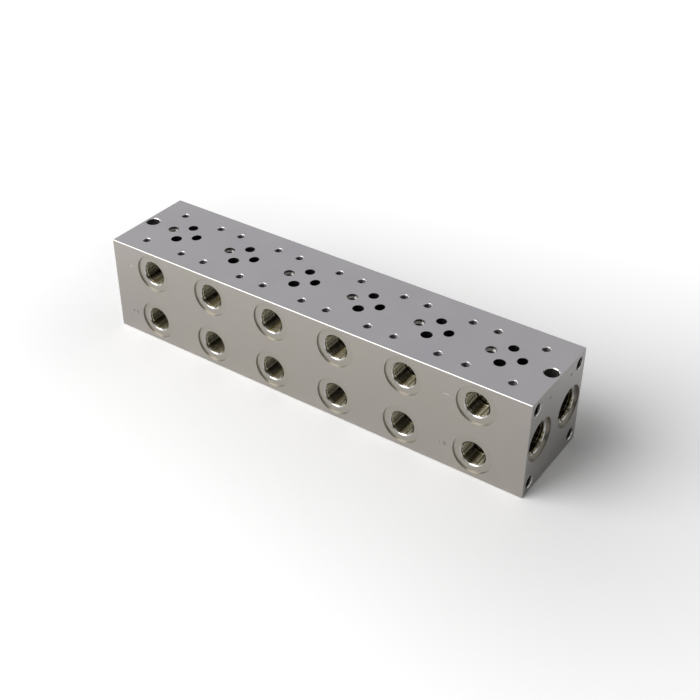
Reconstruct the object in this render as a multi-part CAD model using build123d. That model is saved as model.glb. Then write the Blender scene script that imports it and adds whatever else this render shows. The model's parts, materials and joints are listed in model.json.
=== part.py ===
from build123d import *

import os

# Hydraulic manifold block for six directional valves side by side, millimetres.
#
# One bar of steel, milled all over and drilled. Six valves bolt down on its top face, each on
# its own pattern of four oil ports and four tapped holes. Two galleries run through the whole
# bar, one for pressure and one for the return to tank, and each is tapped for a fitting at both
# ends. Each valve's two working ports come out at the front face, one above the other.
#
# X runs along the bar, the working ports face -Y, and Z is up. The origin is the centre of the
# bottom face. Tapped holes are plain bores at their thread's major diameter.

# %% Driving dimensions

# The valve stations along the bar
station_count = 6
station_pitch = 50.0
end_margin = 35.0  # from the outermost station to the end of the bar

# The working ports in the front face: an upper and a lower row
upper_row_below_top = 15.5
row_spacing = 37.0
lower_row_above_bottom = 16.5

# The two galleries, side by side at half height
gallery_spacing = 37.5
gallery_to_side = 15.75  # from a gallery's axis to the nearest side of the bar
gallery_diameter = 12.0

edge_break = 0.5  # chamfer along every edge of the bar
overshoot = 5.0  # how far a cutter stands out of the face it enters

# Valve pattern, along the bar and across it, from the station's centre
inlet_offset = 10.4  # pressure to the left of the centre, return to the right
service_front = 8.8  # working port A, towards the front
service_rear = 8.7  # working port B, towards the rear
front_screw_offset = 21.5
front_screw_spacing = 31.0
rear_screw_offset = 19.0
rear_screw_spacing = 32.5
service_diameter = 7.5  # working port A, straight down
rear_service_diameter = 6.8  # working port B, leaning a little
rear_service_foot = 3.0  # where that one meets its passage, from the bar's middle plane
feed_diameter = 6.5  # pressure and return, leaning to their galleries
pressure_mouth_diameter = 7.3  # a short straight mouth starts the pressure drilling
pressure_mouth_depth = 2.5

# Passages behind the front ports
passage_diameter = 9.0

# Ports, tapped for a fitting, each with a face spotted round it for a sealing washer
front_port_diameter = 16.66
front_port_depth = 14.0  # of the threaded bore, from the spotted face
front_spot_diameter = 27.0
front_spot_depth = 1.0
end_port_diameter = 20.96
end_port_depth = 17.0
end_spot_diameter = 28.25
end_spot_depth = 1.8
port_chamfer = 0.6  # at the mouth of each threaded bore

# Tapped holes for screws: four for each valve, and one in each corner of both ends
valve_screw_diameter = 5.0
valve_screw_depth = 14.0
end_screw_diameter = 8.0
end_screw_depth = 18.0
end_screw_to_side = 7.5  # from the bar's sides, top and bottom
drill_point = 0.6  # height of the point that a drill leaves, as a share of its radius

# Holes down through the bar that hold it to its base, one at each end
mount_hole_diameter = 9.0
mount_hole_from_end = 5.7
mount_hole_chamfer = 0.5

# %% Sizes that follow

bar_length = (station_count - 1) * station_pitch + 2 * end_margin
bar_width = gallery_spacing + 2 * gallery_to_side
bar_height = upper_row_below_top + row_spacing + lower_row_above_bottom

half_length = bar_length / 2
half_width = bar_width / 2
upper_row = bar_height - upper_row_below_top
lower_row = lower_row_above_bottom
upper_passage_end = service_diameter / 2 - service_front
lower_passage_end = rear_service_foot + rear_service_diameter / 2
gallery_height = bar_height / 2
gallery_offset = gallery_spacing / 2
stations = [(i - (station_count - 1) / 2) * station_pitch for i in range(station_count)]

# %% Cutters


def turned(*section):
    """A cutter turned about Z from the (radius, height) corners of its half section."""
    return revolve(make_face(Polyline(*[(r, 0, z) for r, z in section], close=True)), Axis.Z)


def port_hole(diameter, depth, spot_diameter, spot_depth, passage, passage_depth):
    """A cutter for a port whose mouth lies at Z=0 and which goes down.

    It cuts the spotted face, the mouth's chamfer, the threaded bore, and the passage behind it
    down to passage_depth.
    """
    radius, bore, floor = diameter / 2, passage / 2, -spot_depth
    return turned(
        (0, overshoot),
        (spot_diameter / 2, overshoot),
        (spot_diameter / 2, floor),
        (radius + port_chamfer, floor),
        (radius, floor - port_chamfer),
        (radius, floor - depth),
        (bore, floor - depth),
        (bore, -passage_depth),
        (0, -passage_depth),
    )


def screw_hole(diameter, depth, point=0.0):
    """A cutter for a tapped screw hole whose mouth lies at Z=0 and which goes down.

    It ends flat, or in a drill's point, which then lies below the depth.
    """
    radius = diameter / 2
    return turned((0, overshoot), (radius, overshoot), (radius, -depth), (0, -depth - point))


def drilling(start, end, diameter):
    """A round drilling from one point to another."""
    way = Vector(end) - Vector(start)
    radius = diameter / 2
    cutter = turned((0, 0), (radius, 0), (radius, way.length), (0, way.length))
    return Plane(origin=start, z_dir=way).location * cutter


def on_face(cutter, point, outward):
    """A cutter brought to a point on a face, cutting against the outward direction."""
    return Plane(origin=point, z_dir=outward).location * cutter


# %% One valve station


def mouth_drilling(x, y, target_y, target_z, diameter):
    """From a mouth in the top face down to a point below, leaning where that is not below it."""
    mouth, target = Vector(x, y, bar_height), Vector(x, target_y, target_z)
    above = (mouth - target).normalized() * overshoot
    return drilling(mouth + above, target, diameter)


def front_port(x, height, passage_end):
    """A working port in the front face, with its passage to this Y."""
    cutter = port_hole(
        front_port_diameter,
        front_port_depth,
        front_spot_diameter,
        front_spot_depth,
        passage_diameter,
        half_width + passage_end,
    )
    return on_face(cutter, (x, -half_width, height), (0, -1, 0))


def station(x):
    """All the cutters of the valve station at this place along the bar."""
    cutters = [
        front_port(x, upper_row, upper_passage_end),
        front_port(x, lower_row, lower_passage_end),
        mouth_drilling(x, -service_front, -service_front, upper_row, service_diameter),
        mouth_drilling(x, service_rear, rear_service_foot, lower_row, rear_service_diameter),
    ]

    pressure, tank = x - inlet_offset, x + inlet_offset
    mouth_floor = (pressure, 0, bar_height - pressure_mouth_depth)
    cutters += [
        drilling((pressure, 0, bar_height + overshoot), mouth_floor, pressure_mouth_diameter),
        mouth_drilling(pressure, 0, -gallery_offset, gallery_height, feed_diameter),
        mouth_drilling(tank, 0, gallery_offset, gallery_height, feed_diameter),
    ]

    for y, spacing in ((-front_screw_offset, front_screw_spacing), (rear_screw_offset, rear_screw_spacing)):
        for side in (-1, 1):
            place = (x + side * spacing / 2, y, bar_height)
            cutters.append(on_face(screw_hole(valve_screw_diameter, valve_screw_depth), place, (0, 0, 1)))
    return cutters


# %% Ends of the bar


def bar_end(side):
    """The cutters in one end face: two gallery ports and four corner holes."""
    x, outward = side * half_length, (side, 0, 0)
    port = port_hole(
        end_port_diameter,
        end_port_depth,
        end_spot_diameter,
        end_spot_depth,
        gallery_diameter,
        half_length,
    )
    screw = screw_hole(end_screw_diameter, end_screw_depth, drill_point * end_screw_diameter / 2)
    y = half_width - end_screw_to_side
    cutters = [on_face(port, (x, s * gallery_offset, gallery_height), outward) for s in (-1, 1)]
    for z in (end_screw_to_side, bar_height - end_screw_to_side):
        cutters += [on_face(screw, (x, s * y, z), outward) for s in (-1, 1)]
    return cutters


def mounting_hole(side):
    """A plain hole down through the bar, with its rims broken."""
    radius = mount_hole_diameter / 2
    wide = radius + mount_hole_chamfer + overshoot
    cutter = turned(
        (0, -overshoot),
        (wide, -overshoot),
        (radius, mount_hole_chamfer),
        (radius, bar_height - mount_hole_chamfer),
        (wide, bar_height + overshoot),
        (0, bar_height + overshoot),
    )
    return Pos(side * (half_length - mount_hole_from_end), 0, 0) * cutter


# %% The block

bar = Box(bar_length, bar_width, bar_height, align=(Align.CENTER, Align.CENTER, Align.MIN))
bar = chamfer(bar.edges(), edge_break)

cutters = [cutter for x in stations for cutter in station(x)]
cutters += [cutter for side in (-1, 1) for cutter in bar_end(side)]
cutters += [mounting_hole(side) for side in (-1, 1)]

manifold_block = bar - cutters
manifold_block.label = "manifold_block"

# %% One file for the one piece

os.makedirs("parts", exist_ok=True)
export_step(manifold_block, "parts/manifold_block.step")

solids = manifold_block.solids()
print("manifold_block:", len(solids), "solid,", len(manifold_block.faces()), "faces")
print("size", bar_length, bar_width, bar_height, "volume cm3", round(manifold_block.volume / 1000, 1))
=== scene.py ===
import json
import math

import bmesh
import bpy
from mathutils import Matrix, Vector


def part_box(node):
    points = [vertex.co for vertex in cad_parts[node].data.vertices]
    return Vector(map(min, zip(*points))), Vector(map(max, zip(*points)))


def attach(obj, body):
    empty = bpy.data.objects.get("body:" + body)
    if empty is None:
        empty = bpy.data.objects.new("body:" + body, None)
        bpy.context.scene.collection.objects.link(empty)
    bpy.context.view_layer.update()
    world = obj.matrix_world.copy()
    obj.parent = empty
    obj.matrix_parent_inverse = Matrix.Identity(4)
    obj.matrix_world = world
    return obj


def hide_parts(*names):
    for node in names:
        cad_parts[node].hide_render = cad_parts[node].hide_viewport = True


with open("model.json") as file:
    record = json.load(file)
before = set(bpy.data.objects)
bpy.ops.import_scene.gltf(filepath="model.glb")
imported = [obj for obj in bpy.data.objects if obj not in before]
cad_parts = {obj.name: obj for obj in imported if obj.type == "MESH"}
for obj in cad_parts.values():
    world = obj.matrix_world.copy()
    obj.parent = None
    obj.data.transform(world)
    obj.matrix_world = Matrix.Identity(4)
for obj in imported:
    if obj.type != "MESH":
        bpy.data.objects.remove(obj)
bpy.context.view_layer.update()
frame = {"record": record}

# %% [markdown]
# A hydraulic manifold block is one long bar of steel, milled square, drilled and tapped, and
# then plated. Nothing moves and nothing is bolted on, so the whole lesson is about one piece:
# how to cut many holes cleanly, and how to make bare machined metal look machined.
#
# The CAD model already holds every hole at its true size. It leaves out the screw threads, the
# drill points and the small countersinks, and those are what the eye looks for in a tapped
# hole. So the block is cut again here at the same places, with those details, and the new mesh
# stands for the CAD solid. Its edges are broken a little less than the solid's, because the
# bright line along them would look too thick otherwise.

MM = 0.001  # the block is worked out in millimetres, and written in metres at the end
low, high = (Vector(corner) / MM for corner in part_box("manifold_block"))
length, width, height = high - low
print("bar", round(length, 2), "x", round(width, 2), "x", round(height, 2), "mm")

# %% [markdown]
# The record that comes with the part lists each interface with its place and radius: the
# threaded ports, the valve seats, the screw holes. Reading the places from there, rather than
# typing them again, keeps the places here and in the CAD model from drifting apart. Sizes that
# the record leaves out, such as how deep a spotted face lies, are written out where they are used.

# %% Where the holes are
mounts = {mount["name"]: mount for mount in frame["record"]["mounts"]}


def place(name):
    """A mount's position, in millimetres."""
    return Vector(mounts[name]["pos_m"]) / MM


def named(start, end):
    """The positions of all mounts whose name starts and ends so, in the record's order."""
    return [place(name) for name in mounts if name.startswith(start) and name.endswith(end)]


stations = [point.x for point in named("station", "_seat")]
front_ports = [Vector((p.x, low.y, p.z)) for p in named("station", "_port")]
left_ports = [Vector((low.x, p.y, p.z)) for p in named("left", "_gallery_port")]
right_ports = [Vector((high.x, p.y, p.z)) for p in named("right", "_gallery_port")]
left_screws = [Vector((low.x, p.y, p.z)) for p in named("left", "_end_screw")]
right_screws = [Vector((high.x, p.y, p.z)) for p in named("right", "_end_screw")]
base_holes = [Vector((p.x, p.y, low.z)) for p in named("", "_mounting_hole")]
valve_screws = []
for name in mounts:
    if name.endswith("_screws"):
        half = mounts[name]["dims"]["spacing_x_mm"] / 2
        valve_screws += [place(name) + Vector((side * half, 0, 0)) for side in (-1, 1)]
print(len(stations), "stations,", len(front_ports), "front ports")
print(len(valve_screws), "valve screws")

# %% [markdown]
# The camera stands to the right, in front of the block and above it. It is given by its place
# and by three directions that make a right angle with each other: to its right, up, and
# backwards. A matrix with those as its columns turns the camera without any angles.

# %% The camera
camera_place = Vector((0.36613, -0.51261, 0.47196))
camera_forward = Vector((-0.46165, 0.66996, -0.58141)).normalized()
camera_right = Vector((0.82216, 0.56925, 0.00314)).normalized()
camera_lens = 60.23

camera_data = bpy.data.cameras.new("camera")
camera_data.lens = camera_lens
camera_data.sensor_width = 36.0
camera_data.clip_start = 0.01
camera = bpy.data.objects.new("camera", camera_data)
bpy.context.scene.collection.objects.link(camera)
camera_up = camera_right.cross(camera_forward).normalized()
turn = Matrix((camera_right, camera_up, -camera_forward)).transposed()
camera.matrix_world = Matrix.Translation(camera_place) @ turn.to_4x4()
bpy.context.scene.camera = camera
print("camera", round((camera_place - Vector((0, 0, 0.0345))).length, 3), "m from the block")

# %% [markdown]
# Materials and Geometry Nodes are both trees of nodes. Two small helpers keep the code short:
# one adds a node and sets or links its inputs, the other does one sum.

# %% Helpers for node trees


def add(tree, kind, inputs=None, **settings):
    """A new node. Each input is given a value, or a socket to link from."""
    node = tree.nodes.new(kind)
    for key, value in settings.items():
        setattr(node, key, value)
    for key, value in (inputs or {}).items():
        if isinstance(value, bpy.types.NodeSocket):
            tree.links.new(value, node.inputs[key])
        else:
            node.inputs[key].default_value = value
    return node


def sums(tree, kind="ShaderNodeMath"):
    """A function that adds a Math node to this tree and returns its output."""

    def work(operation, *values):
        return add(tree, kind, dict(enumerate(values)), operation=operation).outputs[0]

    return work


# %% [markdown]
# A tapped hole is a screw's shape cut out of metal. Seen as a sheet, the thread is a flat grid
# whose rows go once round the hole and climb by one pitch on the way, so the end of each row
# meets the start of the row four further on: two rows for the root of the thread, two for its
# crest. Geometry Nodes bend the grid into place, hold the ends flat, widen the mouth into its
# chamfer, and close both ends to a point. The same tree makes every thread on the block from
# its own diameter and pitch.

# %% The tree that makes a thread
THREAD_SIZES = ("Mouth radius", "Major radius", "Minor radius", "Pitch", "Depth", "Point", "Rise")


def new_tree(name, numbers=(), counts=(), others=()):
    """An empty Geometry Nodes tree with its inputs, and the node that gives them."""
    tree = bpy.data.node_groups.new(name, "GeometryNodeTree")
    tree.is_modifier = True
    sockets = [("Geometry", "Geometry")] + [(n, "Float") for n in numbers]
    sockets += [(n, "Int") for n in counts] + list(others) + [("Material", "Material")]
    for label, kind in sockets:
        tree.interface.new_socket(label, in_out="INPUT", socket_type="NodeSocket" + kind)
    tree.interface.new_socket("Geometry", in_out="OUTPUT", socket_type="NodeSocketGeometry")
    return tree, tree.nodes.new("NodeGroupInput").outputs


def end_tree(tree, given, geometry):
    """Ends a tree in Realize Instances and Set Material."""
    real = add(tree, "GeometryNodeRealizeInstances", {"Geometry": geometry}).outputs[0]
    made = add(tree, "GeometryNodeSetMaterial", {"Geometry": real, "Material": given["Material"]})
    add(tree, "NodeGroupOutput", {0: made.outputs[0]})


def thread_tree():
    tree, given = new_tree("thread_cutter", THREAD_SIZES, ("Sides", "Turns"))
    work = sums(tree)
    columns = work("ADD", given["Sides"], 1.0)
    rows = work("MULTIPLY", given["Turns"], 4.0)
    grid = add(
        tree,
        "GeometryNodeMeshGrid",
        {"Size X": 1.0, "Size Y": 1.0, "Vertices X": columns, "Vertices Y": work("ADD", rows, 1.0)},
    )
    at = add(tree, "ShaderNodeSeparateXYZ", {0: add(tree, "GeometryNodeInputPosition").outputs[0]})
    round_it = work("ADD", at.outputs["X"], 0.5)
    row = work("ROUND", work("MULTIPLY", work("ADD", at.outputs["Y"], 0.5), rows))
    quarter = work("MODULO", row, 4.0)
    crest = work("GREATER_THAN", quarter, 1.5)
    in_pitch = work(
        "ADD",
        work("MULTIPLY", work("MODULO", quarter, 2.0), 0.125),
        work("MULTIPLY", crest, 0.5),
    )
    climbed = work("ADD", work("ADD", work("FLOOR", work("DIVIDE", row, 4.0)), in_pitch), round_it)
    bottom = work("MULTIPLY", given["Depth"], -1.0)
    raw = work("ADD", work("MULTIPLY", work("SUBTRACT", climbed, 1.0), given["Pitch"]), bottom)
    z = work("MINIMUM", work("MAXIMUM", raw, bottom), given["Rise"])

    # the thread fades in over the first two turns from the bottom, as a tap leaves it
    run_in = work("DIVIDE", work("SUBTRACT", z, bottom), work("MULTIPLY", given["Pitch"], 2.0))
    run_in = work("MINIMUM", run_in, 1.0)
    thread_depth = work("SUBTRACT", given["Major radius"], given["Minor radius"])
    cut = work("MULTIPLY", work("SUBTRACT", 1.0, crest), work("MULTIPLY", thread_depth, run_in))
    radius = work("ADD", given["Minor radius"], cut)
    radius = work("MAXIMUM", radius, work("ADD", given["Mouth radius"], z))
    angle = work("MULTIPLY", round_it, math.tau)
    bent = add(
        tree,
        "ShaderNodeCombineXYZ",
        {
            0: work("MULTIPLY", radius, work("COSINE", angle)),
            1: work("MULTIPLY", radius, work("SINE", angle)),
            2: z,
        },
    )
    wall = add(tree, "GeometryNodeSetPosition", {"Geometry": grid.outputs[0], "Position": bent.outputs[0]})
    seamed = add(tree, "GeometryNodeMergeByDistance", {"Geometry": wall.outputs[0], "Distance": 0.002})

    edge_faces = tree.nodes.new("GeometryNodeInputMeshEdgeNeighbors").outputs[0]
    rim = add(tree, "FunctionNodeCompare", data_type="INT", operation="EQUAL")
    tree.links.new(edge_faces, rim.inputs["A"])
    next(s for s in rim.inputs if s.name == "B" and s.type == "INT").default_value = 1
    ends = add(
        tree,
        "GeometryNodeExtrudeMesh",
        {"Mesh": seamed.outputs[0], "Selection": rim.outputs[0], "Offset Scale": 0.0},
        mode="EDGES",
    )
    now = add(tree, "ShaderNodeSeparateXYZ", {0: add(tree, "GeometryNodeInputPosition").outputs[0]})
    upper = work("GREATER_THAN", now.outputs["Z"], 0.0)
    lower = work("SUBTRACT", 1.0, upper)
    tip = work("SUBTRACT", bottom, given["Point"])
    tip_z = work("ADD", work("MULTIPLY", upper, given["Rise"]), work("MULTIPLY", lower, tip))
    on_axis = add(tree, "ShaderNodeCombineXYZ", {2: tip_z})
    closed = add(
        tree,
        "GeometryNodeSetPosition",
        {"Geometry": ends.outputs["Mesh"], "Selection": ends.outputs["Top"], "Position": on_axis.outputs[0]},
    )
    whole = add(tree, "GeometryNodeMergeByDistance", {"Geometry": closed.outputs[0], "Distance": 0.002})
    end_tree(tree, given, whole.outputs[0])
    return tree


thread_cutter = thread_tree()
print("thread tree:", len(thread_cutter.nodes), "nodes")

# %% [markdown]
# The second tree repeats. Its own mesh is nothing but points, one at the mouth of each hole,
# and it puts a copy of one cutter on each of them, turned so that its axis stands out of that
# face of the block. Realize Instances then makes the copies one real mesh to cut with.

# %% The tree that repeats a cutter


def repeat_tree():
    tree, given = new_tree("cutter_at_each_mouth", others=(("Cutter", "Object"), ("Turn", "Rotation")))
    cutter = add(tree, "GeometryNodeObjectInfo", {"Object": given["Cutter"]})
    copies = add(
        tree,
        "GeometryNodeInstanceOnPoints",
        {"Points": given["Geometry"], "Instance": cutter.outputs["Geometry"], "Rotation": given["Turn"]},
    )
    end_tree(tree, given, copies.outputs[0])
    return tree


cutter_at_each_mouth = repeat_tree()
print("repeat tree:", len(cutter_at_each_mouth.nodes), "nodes")

# %% [markdown]
# A modifier takes the value of each input by the input's identifier, which is not its name.
# Once the values are in, the evaluated object is copied to a plain mesh, and the modifier has
# done its work. Every helper mesh is made, used and thrown away in this way.

# %% From a tree to a plain mesh


def object_from(name, mesh):
    """A new object with this mesh, in the scene."""
    made = bpy.data.objects.new(name, mesh)
    bpy.context.scene.collection.objects.link(made)
    return made


def baked(name, obj):
    """A plain mesh of an object with its modifiers, closed and facing outwards."""
    graph = bpy.context.evaluated_depsgraph_get()
    mesh = bpy.data.meshes.new_from_object(obj.evaluated_get(graph))
    mesh.name = name
    work = bmesh.new()
    work.from_mesh(mesh)
    bmesh.ops.recalc_face_normals(work, faces=work.faces)
    work.to_mesh(mesh)
    work.free()
    return mesh


def run_tree(name, tree, start, **values):
    """A plain mesh from a tree, this starting mesh and the values of its inputs."""
    obj = object_from(name, start)
    modifier = obj.modifiers.new(name, "NODES")
    modifier.node_group = tree
    for item in tree.interface.items_tree:
        label = item.name.replace(" ", "_")
        if item.in_out == "INPUT" and label in values:
            modifier[item.identifier] = values[label]
    obj.update_tag()
    mesh = baked(name, obj)
    bpy.data.objects.remove(obj)
    return mesh


def points_mesh(points):
    mesh = bpy.data.meshes.new("mouths")
    mesh.from_pydata([tuple(p) for p in points], [], [])
    return mesh


# %% [markdown]
# Everything else that cuts is round about an axis too: the flat pocket spotted round a port,
# the bolt hole with its broken rims, the plain drillings. Each is a half section turned about
# Z, given as pairs of radius and height.

# %% Turned cutters


def turned(name, section, sides):
    """A closed mesh turned about Z from its (radius, height) pairs, first and last on the axis."""
    work = bmesh.new()
    rings = []
    for radius, z in section:
        if radius == 0:
            rings.append([work.verts.new((0, 0, z))])
        else:
            steps = [math.tau * i / sides for i in range(sides)]
            ring = [(radius * math.cos(a), radius * math.sin(a), z) for a in steps]
            rings.append([work.verts.new(corner) for corner in ring])
    for one, two in zip(rings, rings[1:]):
        for i in range(sides):
            j = (i + 1) % sides
            corners = [one[i % len(one)], one[j % len(one)], two[j % len(two)], two[i % len(two)]]
            work.faces.new(dict.fromkeys(corners))
    bmesh.ops.recalc_face_normals(work, faces=work.faces)
    mesh = bpy.data.meshes.new(name)
    work.to_mesh(mesh)
    work.free()
    return mesh


def straight(name, start, end, radius, sides=32, point=0.0):
    """A plain drilling from one place to another, with a drill's point past its end."""
    way = end - start
    section = [(0, 0), (radius, 0), (radius, way.length), (0, way.length + point)]
    mesh = turned(name, section, sides)
    mesh.transform(Matrix.Translation(start) @ way.to_track_quat("Z", "Y").to_matrix().to_4x4())
    return mesh


def joined(name, meshes):
    """Several meshes as one. They must not touch each other."""
    work = bmesh.new()
    for mesh in meshes:
        work.from_mesh(mesh)
        bpy.data.meshes.remove(mesh)
    whole = bpy.data.meshes.new(name)
    work.to_mesh(whole)
    work.free()
    return whole


FACES = {  # how a cutter turns for each face of the block, from pointing up
    "top": (0.0, 0.0, 0.0),
    "front": (math.pi / 2, 0.0, 0.0),
    "right": (0.0, math.pi / 2, 0.0),
    "left": (0.0, -math.pi / 2, 0.0),
}


def at_mouths(name, cutter, points, face="top"):
    """This cutter at each of these points of a face."""
    pattern = object_from(name + "_one", cutter)
    mesh = run_tree(name, cutter_at_each_mouth, points_mesh(points), Cutter=pattern, Turn=FACES[face])
    bpy.data.objects.remove(pattern)
    print(name, len(points), "places,", len(mesh.polygons), "faces")
    return mesh

# %% [markdown]
# The bar itself is a box with every edge broken by a small flat chamfer, as a file or a
# chamfer mill leaves it. That thin line is worth having as real faces: it catches the light
# along the whole length, and no material could draw it so cleanly.

# %% The bar
EDGE_BREAK = 0.34


def bar_mesh():
    work = bmesh.new()
    bmesh.ops.create_cube(work, size=1.0)
    size = Matrix.Diagonal((*(high - low), 1.0))
    bmesh.ops.transform(work, matrix=Matrix.Translation((low + high) / 2) @ size, verts=work.verts)
    bmesh.ops.bevel(
        work, geom=work.edges[:], offset=EDGE_BREAK, offset_type="OFFSET", segments=1, affect="EDGES"
    )
    bmesh.ops.recalc_face_normals(work, faces=work.faces)
    mesh = bpy.data.meshes.new("bar")
    work.to_mesh(mesh)
    work.free()
    return mesh


bar = bar_mesh()
print("bar", len(bar.polygons), "faces")

# %% [markdown]
# Cutting happens in rounds. The fast Manifold solver wants cutters that don't run into each
# other, so each round holds shapes that lie apart: first the pockets and plain mouths, then
# the threads, then the long oil ways that join them, then the slanted drillings down from the
# valve seats. That is also the order in which a machinist would think of them.

# %% One round of cutting


def cut(mesh, cutter, name):
    """The mesh less the cutter."""
    body, tool = object_from(name, mesh), object_from(name + "_tool", cutter)
    modifier = body.modifiers.new(name, "BOOLEAN")
    modifier.operation = "DIFFERENCE"
    modifier.solver = "MANIFOLD"
    modifier.object = tool
    graph = bpy.context.evaluated_depsgraph_get()
    left = bpy.data.meshes.new_from_object(body.evaluated_get(graph))
    for obj in (body, tool):
        bpy.data.objects.remove(obj)
    print(name, "leaves", len(left.polygons), "faces")
    return left


# %% Round one: pockets, bolt holes and the pressure mouths
OVERSHOOT = 5.0
FRONT_SPOT = (13.5, 1.0)  # radius and depth of the flat round a front port
END_SPOT = (14.125, 1.8)
INLET_OFFSET = 10.4  # of the pressure and return mouths from the middle of a valve
PRESSURE_MOUTH = (3.65, 2.5)
BASE_HOLE = mounts["left_mounting_hole"]["dims"]["r_mm"]
BASE_HOLE_RIM = 0.5


def pocket(name, radius, depth, sides=128):
    return turned(name, [(0, OVERSHOOT), (radius, OVERSHOOT), (radius, -depth), (0, -depth)], sides)


wide = BASE_HOLE + BASE_HOLE_RIM + OVERSHOOT
base_hole = [
    (0, -OVERSHOOT),
    (wide, -OVERSHOOT),
    (BASE_HOLE, BASE_HOLE_RIM),
    (BASE_HOLE, height - BASE_HOLE_RIM),
    (wide, height + OVERSHOOT),
    (0, height + OVERSHOOT),
]
pressure_mouths = [Vector((x - INLET_OFFSET, 0, high.z)) for x in stations]
pockets = joined(
    "pockets",
    [
        at_mouths("front_spots", pocket("spot", *FRONT_SPOT), front_ports, "front"),
        at_mouths("left_spots", pocket("spot", *END_SPOT), left_ports, "left"),
        at_mouths("right_spots", pocket("spot", *END_SPOT), right_ports, "right"),
        at_mouths("pressure_mouths", pocket("mouth", *PRESSURE_MOUTH, sides=48), pressure_mouths),
        at_mouths("base_holes", turned("base_hole", base_hole, 64), base_holes),
    ],
)
block = cut(bar, pockets, "pockets_cut")

# %% [markdown]
# The ports take pipe threads and the small holes take metric screws. Only the first turns of
# a thread can be seen, so a small hole has its thread as far as a light would reach and then
# runs on plain. Each mouth is a little wider than the thread, which is what shows as a bright
# ring round every tapped hole; a lighter rim colour adds a painted highlight to that ring.

# %% Round two: the threads
THREADS = {
    # mouth, major and minor radius, pitch, depth, point, rise, sides
    "front_port": (8.93, 8.33, 7.475, 1.337, 14.0, 4.5, 0.5, 64),
    "gallery_port": (11.08, 10.48, 9.315, 1.814, 17.0, 5.6, 0.8, 72),
    "valve_screw": (2.85, 2.5, 2.067, 0.8, 8.0, 0.0, 0.5, 20),
    "end_screw": (4.4, 4.0, 3.324, 1.25, 12.0, 0.0, 0.5, 28),
}


def thread(kind):
    """One thread cutter of this kind, with its mouth at height 0."""
    *sizes, sides = THREADS[kind]
    values = {label.replace(" ", "_"): size for label, size in zip(THREAD_SIZES, sizes)}
    rise, depth, pitch = values["Rise"], values["Depth"], values["Pitch"]
    values["Turns"] = math.ceil((depth + rise) / pitch) + 2
    mesh = run_tree(kind, thread_cutter, points_mesh([]), Sides=sides, **values)
    print(kind, values["Turns"], "turns,", len(mesh.polygons), "faces")
    return mesh


def below_spot(points, inward, spot):
    """The points, moved in to the floor of the spotted pocket."""
    return [point + inward * spot[1] for point in points]


threads = joined(
    "threads",
    [
        at_mouths(
            "front_threads",
            thread("front_port"),
            below_spot(front_ports, Vector((0, 1, 0)), FRONT_SPOT),
            "front",
        ),
        at_mouths(
            "left_threads",
            thread("gallery_port"),
            below_spot(left_ports, Vector((1, 0, 0)), END_SPOT),
            "left",
        ),
        at_mouths(
            "right_threads",
            thread("gallery_port"),
            below_spot(right_ports, Vector((-1, 0, 0)), END_SPOT),
            "right",
        ),
        at_mouths("valve_threads", thread("valve_screw"), valve_screws),
        at_mouths("left_screw_threads", thread("end_screw"), left_screws, "left"),
        at_mouths("right_screw_threads", thread("end_screw"), right_screws, "right"),
    ],
)
block = cut(block, threads, "threads_cut")

# %% [markdown]
# Behind the threads run the oil ways. Two galleries go from end to end; a passage lies behind
# each front port; and each small hole's tap drill goes on below its thread and ends in the
# cone that every twist drill leaves.

# %% Round three: galleries, passages and tap drills
GALLERY_RADIUS = 6.0
PASSAGE_RADIUS = 4.5
PASSAGE_START = 12.0  # from the front face, well inside the threaded bore
UPPER_PASSAGE_END, LOWER_PASSAGE_END = -5.05, 6.4
DRILL_POINT = 0.6  # height of a drill's point over its radius
half_height = (low.z + high.z) / 2


def bottomed(kind, depth):
    """What the tap drill leaves below the thread of this kind, down to this depth."""
    radius, threaded = THREADS[kind][2] - 0.004, THREADS[kind][4] - 1.0
    tip = -depth - DRILL_POINT * radius
    section = [(0, -threaded), (radius, -threaded), (radius, -depth), (0, tip)]
    return turned(kind + "_drill", section, THREADS[kind][-1])


def passage(port):
    end = UPPER_PASSAGE_END if port.z > half_height else LOWER_PASSAGE_END
    start = Vector((port.x, low.y + PASSAGE_START, port.z))
    return straight("passage", start, Vector((port.x, end, port.z)), PASSAGE_RADIUS, 40)


galleries = [
    straight("gallery", left + Vector((10, 0, 0)), right - Vector((10, 0, 0)), GALLERY_RADIUS, 48)
    for left, right in zip(left_ports, right_ports)
]
ways = joined(
    "ways",
    galleries
    + [passage(port) for port in front_ports]
    + [
        at_mouths("valve_drills", bottomed("valve_screw", 14.0), valve_screws),
        at_mouths("left_drills", bottomed("end_screw", 18.0), left_screws, "left"),
        at_mouths("right_drills", bottomed("end_screw", 18.0), right_screws, "right"),
    ],
)
block = cut(block, ways, "ways_cut")

# %% Round four: the drillings down from each valve seat
SERVICE_FRONT, SERVICE_REAR, SERVICE_FOOT = 8.8, 8.7, 3.0
SERVICE_RADIUS, REAR_SERVICE_RADIUS, FEED_RADIUS = 3.75, 3.4, 3.25
upper_row = max(port.z for port in front_ports)
lower_row = min(port.z for port in front_ports)
gallery_y = max(port.y for port in left_ports)
gallery_z = left_ports[0].z


def down(x, y, target_y, target_z, radius):
    """A drilling from a mouth in the top face to a point inside the block."""
    mouth, target = Vector((x, y, high.z)), Vector((x, target_y, target_z))
    above = (mouth - target).normalized() * OVERSHOOT
    return straight("drilling", mouth + above, target, radius, 48)


drillings = []
for x in stations:
    drillings += [
        down(x, -SERVICE_FRONT, -SERVICE_FRONT, upper_row, SERVICE_RADIUS),
        down(x, SERVICE_REAR, SERVICE_FOOT, lower_row, REAR_SERVICE_RADIUS),
        down(x - INLET_OFFSET, 0, -gallery_y, gallery_z, FEED_RADIUS),
        down(x + INLET_OFFSET, 0, gallery_y, gallery_z, FEED_RADIUS),
    ]
block = cut(block, joined("drillings", drillings), "drillings_cut")

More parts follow.
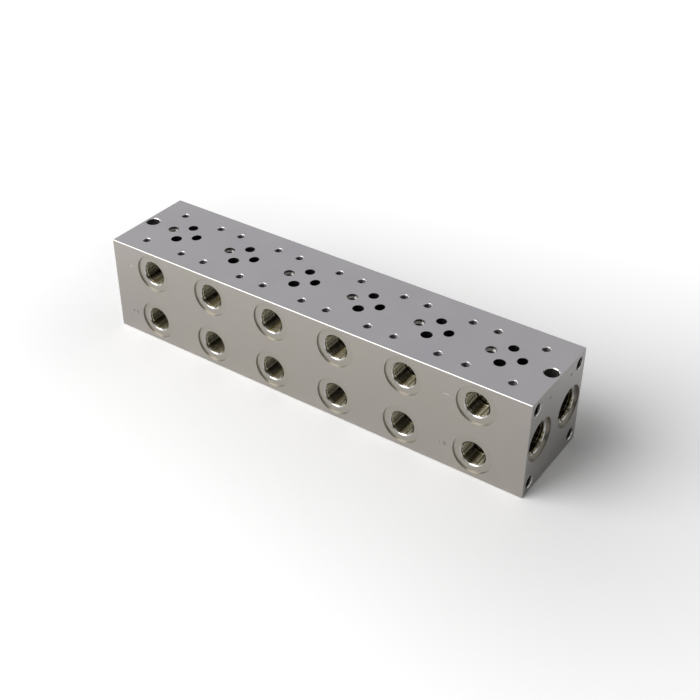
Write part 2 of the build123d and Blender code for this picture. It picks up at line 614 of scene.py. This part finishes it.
# %% [markdown]
# Small numerals stamped beside the ports tell the fitter which port is which. A stamp leaves
# each one a few tenths of a millimetre deep and turned to be read with the block on end. Each
# is made as text, turned into a solid that stands half out of its face, and cut away.

# %% Round five: stamped numerals
NUMERAL_SIZE, NUMERAL_DEPTH = 6.4, 0.25
END_NUMERAL_SIZE, END_NUMERAL_BELOW = 5.0, 9.0  # below the top face
END_NUMERALS = {"3": -11.0, "4": 16.0}  # each one's place across the end face
BESIDE_PORT = 20.0  # from a front port's axis to the numeral beside it
RIGHT, BACK, UP = Vector((1, 0, 0)), Vector((0, 1, 0)), Vector((0, 0, 1))


def numeral(text, middle, reads, tops, size):
    """A solid numeral centred on a face, which reads one way and has its top the other."""
    curve = bpy.data.curves.new("numeral", "FONT")
    curve.body, curve.size, curve.extrude, curve.resolution_u = text, size, NUMERAL_DEPTH, 3
    curve.align_x = curve.align_y = "CENTER"
    holder = object_from("numeral", curve)
    graph = bpy.context.evaluated_depsgraph_get()
    mesh = bpy.data.meshes.new_from_object(holder.evaluated_get(graph))
    bpy.data.objects.remove(holder)
    turn = Matrix((reads, tops, reads.cross(tops))).transposed().to_4x4()
    mesh.transform(Matrix.Translation(middle) @ turn)
    work = bmesh.new()
    work.from_mesh(mesh)
    bmesh.ops.remove_doubles(work, verts=work.verts, dist=1e-4)
    bmesh.ops.recalc_face_normals(work, faces=work.faces)
    work.to_mesh(mesh)
    work.free()
    return mesh


numerals = []
for port in front_ports:
    if port.x in (min(stations), max(stations)):
        text = "1" if port.z > half_height else "2"
        middle = Vector((port.x - BESIDE_PORT, port.y, port.z))
        numerals.append(numeral(text, middle, UP, -RIGHT, NUMERAL_SIZE))
for text, y in END_NUMERALS.items():
    middle = Vector((high.x, y, high.z - END_NUMERAL_BELOW))
    numerals.append(numeral(text, middle, UP, -BACK, END_NUMERAL_SIZE))
block = cut(block, joined("numerals", numerals), "numerals_cut")

# %% [markdown]
# The finish differs from place to place, because each was made by another tool. So each face
# of the mesh gets the material of its tool: flat outer faces were milled, the round pockets
# turned, the edges broken, and all the rest drilled or tapped. A face's direction and its
# depth below the outside are enough to tell which. The milled end faces are also given a
# darker tone than the front and back, which is painted shade.

# %% Which tool made each face
FINISHES = [
    "milled_top", "milled_sides", "milled_ends",
    "turned_flats", "port_threads", "drillings", "broken_edges", "cut_rims",
]
FLAT = 0.999  # cosine below which a face isn't square to an axis
NEAR = 0.02  # millimetres
BESIDE = 0.1  # how far a facet's middle may lie off the true circle, millimetres
NO_SPOT = (0.0, 0.0)


def tapped(kind):
    """The radius at the mouth, the radius of the thread, and how deep this thread goes."""
    wide, major, _, _, depth, point, *_ = THREADS[kind]
    return wide, major, depth + point


base_hole_tops = [Vector((p.x, p.y, high.z)) for p in base_holes]
PORT_LOOK, SCREW_LOOK = ("cut_rims", "port_threads"), ("cut_rims", "drillings")
BASE_LOOK = ("broken_edges", "broken_edges")
base_hole_sizes = (BASE_HOLE + BASE_HOLE_RIM, BASE_HOLE, height)
MOUTHS = [  # the hole's axis, its mouth, the flat round it, its sizes, the look of rim and wall
    (axis, point, spot, sizes, look)
    for axis, points, spot, sizes, look in (
        (1, front_ports, FRONT_SPOT, tapped("front_port"), PORT_LOOK),
        (0, left_ports + right_ports, END_SPOT, tapped("gallery_port"), PORT_LOOK),
        (0, left_screws + right_screws, NO_SPOT, tapped("end_screw"), SCREW_LOOK),
        (2, valve_screws, NO_SPOT, tapped("valve_screw"), SCREW_LOOK),
        (2, base_holes + base_hole_tops, NO_SPOT, base_hole_sizes, BASE_LOOK),
    )
    for point in points
]


def hole_finish(middle):
    """The finish of a face inside a hole: a pocket's wall, a mouth's chamfer or a thread."""
    for mouth in pressure_mouths:
        away = middle - mouth
        if away.xy.length < PRESSURE_MOUTH[0] + BESIDE and -away.z < PRESSURE_MOUTH[1] + BESIDE:
            return "broken_edges"
    for axis, mouth, (spot_radius, spot_depth), (wide, major, deep), (rim, wall) in MOUTHS:
        away = middle - mouth
        depth = abs(away[axis]) - spot_depth
        away[axis] = 0.0
        reach = away.length
        if reach > max(spot_radius, wide) + BESIDE or depth > deep:
            continue
        if depth < NEAR and spot_radius:
            return "turned_flats"
        return rim if depth < wide - major and reach > major - BESIDE else wall
    below_face = min(min(high[i] - middle[i], middle[i] - low[i]) for i in range(2))
    return "broken_edges" if below_face < NUMERAL_DEPTH + NEAR else "drillings"


def finish_of(normal, middle):
    """The finish of a face, from its direction and its middle."""
    axis = max(range(3), key=lambda i: abs(normal[i]))
    side = high[axis] if normal[axis] > 0 else low[axis]
    if abs(normal[axis]) > FLAT and abs(side - middle[axis]) < NEAR:
        upright = "milled_ends" if axis == 0 else "milled_sides"
        return "milled_top" if axis == 2 and normal[2] > 0 else upright
    slants = sorted(abs(part) for part in normal)[1] > 0.5
    out = sum(min(high[i] - middle[i], middle[i] - low[i]) < EDGE_BREAK * 1.01 for i in range(3))
    if slants and out >= 2:
        return "broken_edges"
    return hole_finish(middle)


block.materials.clear()
counts = [0] * len(FINISHES)
for face in block.polygons:
    face.material_index = FINISHES.index(finish_of(face.normal, face.center))
    counts[face.material_index] += 1
print({name: counts[i] for i, name in enumerate(FINISHES)})

# %% [markdown]
# A turned flat is covered in fine rings round its own hole. Light and dark stripes run along a
# tapped port, most likely where the crests of its threads mirror narrow things nearby. Here
# they are drawn in the finish, so they hold still as the view changes. The material can draw
# rings and stripes only if it knows where each point lies round its hole, so a UV map keeps
# that: a place across the nearest port, in centimetres, with the port's middle at 0, 0.

# %% Where each point lies round its port
ports = [(1, p) for p in front_ports] + [(0, p) for p in left_ports + right_ports]


def round_port(point):
    """Where a point lies across the nearest port, seen along that port's axis."""
    best = min(ports, key=lambda port: (port[1] - point).length)
    axis, centre = best
    other = 0 if axis == 1 else 1
    return (point[other] - centre[other]) / 10, (point.z - centre.z) / 10


layer = block.uv_layers.new(name="round_port")
ringed = [FINISHES.index("turned_flats"), FINISHES.index("port_threads")]
for face in block.polygons:
    if face.material_index in ringed:
        for loop in face.loop_indices:
            layer.uv[loop].vector = round_port(block.vertices[block.loops[loop].vertex_index].co)

# %% The block, in metres, with its sharp edges kept sharp
SHARP = math.radians(28)
block.name = "manifold_body"
block.transform(Matrix.Scale(MM, 4))
block.shade_smooth()
work = bmesh.new()
work.from_mesh(block)
for edge in work.edges:
    edge.smooth = edge.is_manifold and edge.calc_face_angle(0.0) < SHARP
open_edges = sum(not edge.is_manifold for edge in work.edges)
triangles = sum(len(face.verts) - 2 for face in work.faces)
work.to_mesh(block)
work.free()
body = object_from("manifold_body", block)
print("block:", triangles, "triangles,", open_edges, "open edges")

# %% [markdown]
# Plated steel is a metal with a satin finish: its colour comes from what it mirrors, dimmed
# and faintly tinted by the plating. Three things keep it from looking like grey plastic. The
# tint drifts slowly over the surface, as a passivated zinc coat does. Tool marks run across
# it, too fine to count from here, and they stretch each reflection. And the roughness
# changes a little from mark to mark.

# %% Parts of a finish
ROUGHNESS_SPREAD = 0.06  # from one tool mark to the next
PER_MM = 1 / MM  # object coordinates are in metres, and patterns are thought of in millimetres


def new_material(name):
    """A material with an empty tree, its object coordinates in millimetres, and its shader."""
    material = bpy.data.materials.new(name)
    material.use_nodes = True
    tree = material.node_tree
    tree.nodes.clear()
    shader = add(tree, "ShaderNodeBsdfPrincipled")
    add(tree, "ShaderNodeOutputMaterial", {"Surface": shader.outputs[0]})
    where = add(tree, "ShaderNodeTexCoord").outputs["Object"]
    in_mm = add(tree, "ShaderNodeMapping", {"Vector": where, "Scale": (PER_MM,) * 3})
    return material, tree, shader, in_mm.outputs[0]


def noise(tree, vector, scale, detail=2.0, stretch=(1.0, 1.0, 1.0), roughness=0.5):
    """Noise from 0 to 1 with this many waves in a millimetre, drawn out along some axes."""
    drawn = add(tree, "ShaderNodeMapping", {"Vector": vector, "Scale": stretch}).outputs[0]
    settings = {"Vector": drawn, "Scale": scale, "Detail": detail, "Roughness": roughness}
    return add(tree, "ShaderNodeTexNoise", settings).outputs[0]


def spread(tree, value, low_value, high_value, low_in=0.3, high_in=0.7):
    """A value of a texture, brought to lie between two others."""
    settings = {"Value": value, 1: low_in, 2: high_in, 3: low_value, 4: high_value}
    return add(tree, "ShaderNodeMapRange", settings).outputs[0]


def between(tree, factor, one, two):
    """A colour between two others."""
    node = add(tree, "ShaderNodeMix", data_type="RGBA")
    tree.links.new(factor, node.inputs["Factor"])
    for label, colour in (("A", one), ("B", two)):
        socket = next(s for s in node.inputs if s.name == label and s.type == "RGBA")
        if isinstance(colour, bpy.types.NodeSocket):
            tree.links.new(colour, socket)
        else:
            socket.default_value = (*colour, 1.0)
    return next(s for s in node.outputs if s.type == "RGBA")


def finish_with(tree, shader, colour, marks, roughness, depth_mm):
    """Gives a shader its colour, and its tool marks as roughness and as relief."""
    relief = add(
        tree, "ShaderNodeBump", {"Height": marks, "Strength": 1.0, "Distance": depth_mm * MM}
    )
    tree.links.new(colour, shader.inputs["Base Color"])
    rough = spread(tree, marks, roughness - ROUGHNESS_SPREAD, roughness + ROUGHNESS_SPREAD)
    tree.links.new(rough, shader.inputs["Roughness"])
    tree.links.new(relief.outputs[0], shader.inputs["Normal"])
    shader.inputs["Metallic"].default_value = METALLIC


METALLIC = 0.92
WARM, PINK = (0.384, 0.364, 0.318), (0.388, 0.355, 0.334)
# The end tones are darker than the front and back: painted shade on the same plated steel.
SHADED_END_WARM, SHADED_END_COOL = (0.362, 0.348, 0.326), (0.350, 0.338, 0.328)
COOL, PALE = (0.325, 0.312, 0.338), (0.345, 0.335, 0.350)

# %% Milled faces


def milled(name, near, far, mill_radius=46.0):
    """A face left by a wide face mill, which sweeps shallow arcs as it travels along X."""
    material, tree, shader, mm = new_material(name)
    work = sums(tree)
    at = add(tree, "ShaderNodeSeparateXYZ", {0: mm})
    above_middle = work("SUBTRACT", at.outputs["Z"], half_height)
    across = at.outputs["Y"] if name == "milled_top" else above_middle
    drop = work("SUBTRACT", mill_radius**2, work("MULTIPLY", across, across))
    travel = at.outputs["Y" if name == "milled_ends" else "X"]
    along = work("SUBTRACT", travel, work("SQRT", drop))
    swept = add(tree, "ShaderNodeCombineXYZ", {0: along}).outputs[0]
    arcs = noise(tree, swept, 2.2, 3.0)
    tint = between(tree, spread(tree, noise(tree, mm, 0.03, 2.0), 0.0, 1.0), near, far)
    grain = noise(tree, mm, 1.6, 3.0, (0.35, 1.0, 1.0))
    marks = work("ADD", work("MULTIPLY", arcs, 0.5), work("MULTIPLY", grain, 0.5))
    shade = spread(tree, marks, 0.0, 0.3)
    colour = between(tree, shade, tint, (0.30, 0.29, 0.28))
    finish_with(tree, shader, colour, marks, 0.36, 0.003)
    return material


materials = {
    "milled_top": milled("milled_top", COOL, PALE),
    "milled_sides": milled("milled_sides", WARM, PINK),
    # the ends get darker tones than the sides, which is painted shade
    "milled_ends": milled("milled_ends", SHADED_END_WARM, SHADED_END_COOL),
}

# %% Turned flats, hole walls and cut edges


def turned_flat(name):
    """Fine rings round the port, read from the map of where each point lies round it."""
    material, tree, shader, mm = new_material(name)
    work = sums(tree)
    across = add(tree, "ShaderNodeUVMap", uv_map="round_port").outputs[0]
    radius = add(tree, "ShaderNodeVectorMath", {0: across}, operation="LENGTH").outputs["Value"]
    ring_at = add(tree, "ShaderNodeCombineXYZ", {0: work("MULTIPLY", radius, 10.0)}).outputs[0]
    rings = noise(tree, ring_at, 3.0, 3.0)
    grain = noise(tree, mm, 2.0, 2.0)
    marks = work("ADD", work("MULTIPLY", rings, 0.75), work("MULTIPLY", grain, 0.25))
    dark, light = (0.32, 0.302, 0.262), (0.40, 0.378, 0.338)
    colour = between(tree, spread(tree, marks, 0.0, 1.0), dark, light)
    finish_with(tree, shader, colour, marks, 0.30, 0.004)
    return material


def port_thread_with_painted_light(name):
    """A tapped wall, olive darkened by painted shade, with painted reflections as stripes that run along the
    hole.
    """
    material, tree, shader, mm = new_material(name)
    across = add(tree, "ShaderNodeUVMap", uv_map="round_port").outputs[0]
    outward = add(tree, "ShaderNodeVectorMath", {0: across}, operation="NORMALIZE").outputs[0]
    painted_reflection_streaks = noise(tree, outward, 4.6, 2.0)
    chatter = noise(tree, mm, 2.5, 3.0)
    # The dark olive is partly the wall's own tint and partly painted shade; the lighter grey stripes are
    # painted reflections of the thread crests.
    shaded_olive, reflection_grey = (0.080, 0.064, 0.026), (0.34, 0.318, 0.245)
    colour = between(tree, spread(tree, painted_reflection_streaks, 0.0, 1.0, 0.44, 0.64), shaded_olive, reflection_grey)
    finish_with(tree, shader, colour, chatter, 0.24, 0.003)
    return material


def drilling(name):
    """A drilled or finely tapped wall, a near-black grey: painted shade for the inside of a hole."""
    material, tree, shader, mm = new_material(name)
    chatter = noise(tree, mm, 1.2, 3.0, (0.4, 0.4, 3.0))
    # These near-black tones are painted shade for the inside of a hole, not the steel's own colour.
    dark, light = (0.035, 0.034, 0.037), (0.12, 0.118, 0.120)
    colour = between(tree, spread(tree, chatter, 0.0, 1.0, 0.35, 0.7), dark, light)
    finish_with(tree, shader, colour, chatter, 0.30, 0.003)
    return material


def cut_edge(name, dark, light):
    """A freshly cut edge or rim, smoother than the milled faces beside it."""
    material, tree, shader, mm = new_material(name)
    nicks = noise(tree, mm, 0.8, 4.0)
    colour = between(tree, spread(tree, nicks, 0.0, 1.0), dark, light)
    finish_with(tree, shader, colour, nicks, 0.20, 0.003)
    return material


materials["turned_flats"] = turned_flat("turned_flats")
materials["port_threads"] = port_thread_with_painted_light("port_threads")
materials["drillings"] = drilling("drillings")
materials["broken_edges"] = cut_edge("broken_edges", (0.345, 0.338, 0.325), (0.400, 0.392, 0.378))
# The rims' lighter colour is a painted highlight: it lifts the lamp's glint on each hole's rim.
materials["cut_rims"] = cut_edge("cut_rims", (0.400, 0.395, 0.390), (0.480, 0.475, 0.465))
for finish in FINISHES:
    block.materials.append(materials[finish])
print("finishes", list(materials))

# %% [markdown]
# The light is a plain studio. A large soft lamp stands in front and to the left, above the
# block, and a low one at its left end; a pale room lies all round. Metal shows what stands
# about it, so dark cards behind, to the right and in front give its edges and the insides of
# its holes something dark to mirror. Only reflections see them. The floor is nearly white and
# takes the block's shadow. What makes it look white is a glow that only the camera and mirror-
# like rays see, so it adds no light to the block. The glow is faint beside the block and grows
# with the distance from it, which paints a darker shade round the block on top of its real
# shadow; the block's end faces mirror that painted shade.

# %% Light
ROOM_LIGHT = 0.14
LAMPS = {  # place, width and height in metres, watts
    "key_lamp": ((-0.93, -1.17, 1.43), 1.95, 1.95, 49.0),
    "side_lamp": ((-1.25, 0.20, 0.26), 0.80, 0.45, 2.6),
}
CARDS = {  # corners of a dark card, opposite each other
    "back_card": ((-0.5, 1.2, 0.0), (1.3, 1.2, 0.36)),
    "right_card": ((1.3, -0.2, 0.0), (1.3, 1.2, 0.6)),
    "front_card_left": ((-0.40, -1.25, 0.0), (-0.17, -1.25, 0.9)),
    "front_card_middle": ((-0.12, -1.25, 0.0), (0.24, -1.25, 0.9)),
    "front_card_right": ((0.30, -1.25, 0.0), (1.3, -1.25, 0.9)),
}


def seen(tree):
    """1 for rays from the camera, a reflection or clear glass, and 0 for all others."""
    rays = add(tree, "ShaderNodeLightPath").outputs
    work = sums(tree)
    mirrored = work("MAXIMUM", rays["Is Glossy Ray"], rays["Is Transmission Ray"])
    return work("MAXIMUM", rays["Is Camera Ray"], mirrored)


def soft_lamp(name, where, wide, tall, watts):
    data = bpy.data.lights.new(name, "AREA")
    data.shape = "RECTANGLE"
    data.size, data.size_y = wide, tall
    data.energy = watts
    lamp = bpy.data.objects.new(name, data)
    bpy.context.scene.collection.objects.link(lamp)
    lamp.location = where
    lamp.rotation_euler = (Vector((0, 0, 0.03)) - Vector(where)).to_track_quat("-Z", "Y").to_euler()


def dark_card(name, one, two):
    """An upright dark card that only reflections can see."""
    (x1, y1, z1), (x2, y2, z2) = one, two
    mesh = bpy.data.meshes.new(name)
    corners = [(x1, y1, z1), (x2, y2, z1), (x2, y2, z2), (x1, y1, z2)]
    mesh.from_pydata(corners, [], [(0, 1, 2, 3)])
    card = object_from(name, mesh)
    material, _, shader, _ = new_material(name)
    shader.inputs["Base Color"].default_value = (0.03, 0.03, 0.03, 1)
    shader.inputs["Roughness"].default_value = 1.0
    mesh.materials.append(material)
    for ray in ("camera", "diffuse", "transmission", "volume_scatter", "shadow"):
        setattr(card, "visible_" + ray, False)
    return card


def room():
    world = bpy.data.worlds.new("room")
    bpy.context.scene.world = world
    world.use_nodes = True
    tree = world.node_tree
    tree.nodes.clear()
    strength = spread(tree, seen(tree), ROOM_LIGHT, 1.0, 0.0, 1.0)
    light = add(tree, "ShaderNodeBackground", {"Color": (1, 1, 1, 1), "Strength": strength})
    add(tree, "ShaderNodeOutputWorld", {"Surface": light.outputs[0]})


# %% Floor
FLOOR_SIZE, FLOOR_DROP = 4.0, 0.0002  # half its side, and how far below the block, metres
# The faint glow beside the block is painted shade round it.
SHADED_GLOW_NEAR, GLOW_FAR = 0.06, 1.0  # how strongly the floor glows beside the block, and far off
GLOW_RISES = (5.0, 600.0)  # between these distances from the block, in millimetres


def studio_floor():
    size = FLOOR_SIZE
    mesh = bpy.data.meshes.new("floor")
    corners = [(-size, -size, 0), (size, -size, 0), (size, size, 0), (-size, size, 0)]
    mesh.from_pydata(corners, [], [(0, 1, 2, 3)])
    floor = object_from("floor", mesh)
    material, tree, shader, mm = new_material("pale_floor")
    shader.inputs["Base Color"].default_value = (0.90, 0.90, 0.90, 1)
    shader.inputs["Roughness"].default_value = 0.9
    shader.inputs["Specular IOR Level"].default_value = 0.1
    shader.inputs["Emission Color"].default_value = (1, 1, 1, 1)
    work = sums(tree)
    at = add(tree, "ShaderNodeSeparateXYZ", {0: mm}).outputs
    past_end = work("MAXIMUM", work("SUBTRACT", work("ABSOLUTE", at["X"]), length / 2), 0.0)
    past_side = work("MAXIMUM", work("SUBTRACT", work("ABSOLUTE", at["Y"]), width / 2), 0.0)
    away = work("SQRT", work("ADD", work("POWER", past_end, 2.0), work("POWER", past_side, 2.0)))
    glow_with_painted_shade = spread(tree, away, SHADED_GLOW_NEAR, GLOW_FAR, *GLOW_RISES)
    tree.links.new(work("MULTIPLY", seen(tree), glow_with_painted_shade), shader.inputs["Emission Strength"])
    mesh.materials.append(material)
    floor.location.z = -FLOOR_DROP
    return floor


room()
for name, lamp in LAMPS.items():
    soft_lamp(name, *lamp)
cards = [dark_card(name, *card) for name, card in CARDS.items()]
floor = studio_floor()
bpy.context.scene.view_settings.view_transform = "Standard"

# %% The frame
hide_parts("manifold_block")
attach(body, "root")
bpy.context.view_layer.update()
